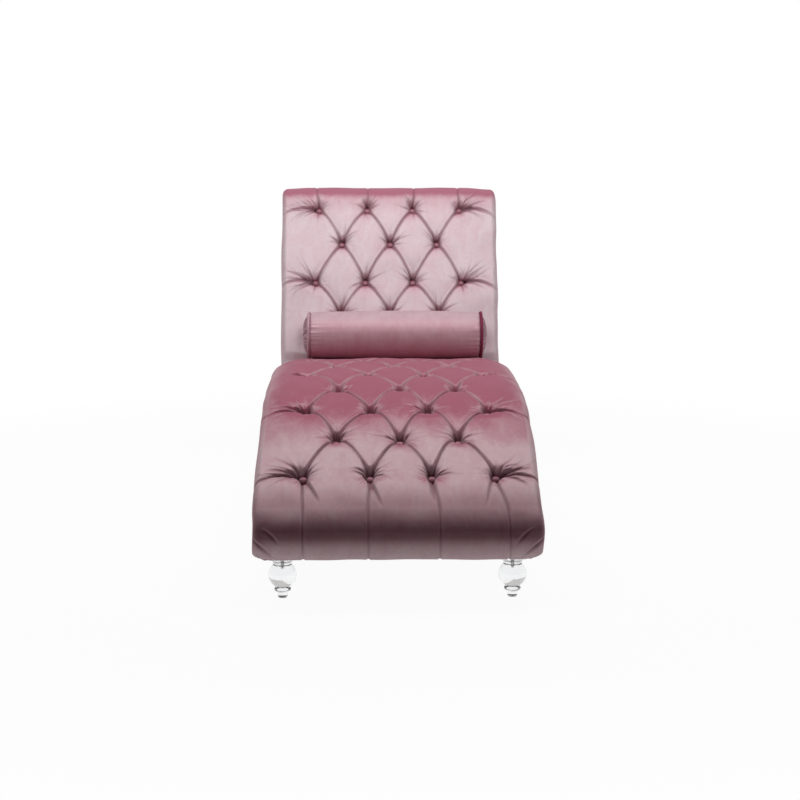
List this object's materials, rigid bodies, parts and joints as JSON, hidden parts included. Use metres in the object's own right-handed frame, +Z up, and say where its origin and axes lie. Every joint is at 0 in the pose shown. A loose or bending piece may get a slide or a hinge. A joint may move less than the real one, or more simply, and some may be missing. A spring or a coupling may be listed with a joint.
{
  "type": "chaise longue",
  "caption": "Upholstered chaise longue with a waved diamond-tufted velvet seat, a reclined back with a rolled top, a loose bolster cushion and turned clear feet.",
  "frame": {"origin": "on the floor, under the middle of the overall box", "axes": "+Z up; the foot end faces -Y and the back stands at +Y; +X is to the right of someone looking at the foot end"},
  "size_m": [0.635, 1.575, 0.8299],
  "materials": {
    "velvet": "cut velvet with a pale sheen",
    "velvet_button": "velvet-covered button",
    "velvet_piping": "velvet piping",
    "foam": "cut upholstery foam",
    "fill": "fibre fill",
    "webbing": "woven elastic webbing",
    "twine": "waxed twine",
    "softwood": "sawn",
    "plywood": "sanded",
    "zinc_steel": "zinc plated",
    "insert_brass": "turned",
    "cambric": "thin non-woven cloth",
    "clear_acrylic": "clear, polished",
    "glide_plastic": "plain"
  },
  "bodies": {
    "chaise": {"seat_cover": "velvet", "back_cover": "velvet", "left_side_cover": "velvet", "right_side_cover": "velvet", "outside_back_cover": "velvet", "seat_buttons": "velvet_button", "back_buttons": "velvet_button", "seat_ties": "twine", "back_ties": "twine", "seat_foam": "foam", "back_foam": "foam", "seat_webbing": "webbing", "back_webbing": "webbing", "front_foot_board": "softwood", "rear_foot_board": "softwood", "nose_rail": "softwood", "knee_rail": "softwood", "middle_rail": "softwood", "seat_back_rail": "softwood", "rear_rail": "softwood", "back_lower_rail": "softwood", "back_top_rail": "softwood", "centre_stretcher": "softwood", "left_side_panel": "plywood", "right_side_panel": "plywood", "frame_screws": "zinc_steel", "dust_cover": "cambric", "front_left_foot": "clear_acrylic", "front_right_foot": "clear_acrylic", "rear_left_foot": "clear_acrylic", "rear_right_foot": "clear_acrylic", "hanger_bolts": "zinc_steel", "foot_inserts": "insert_brass", "foot_glides": "glide_plastic"},
    "bolster": {"bolster_cap_buttons": "velvet_button", "bolster_cover": "velvet", "bolster_fill": "fill", "bolster_left_piping": "velvet_piping", "bolster_right_piping": "velvet_piping", "bolster_left_cap": "velvet", "bolster_right_cap": "velvet"}
  },
  "joints": [
    {"name": "bolster_lift", "type": "slide", "parent": "chaise", "child": "bolster", "axis": [0, 0, 1], "range_m": [0, 0.6]}
  ]
}
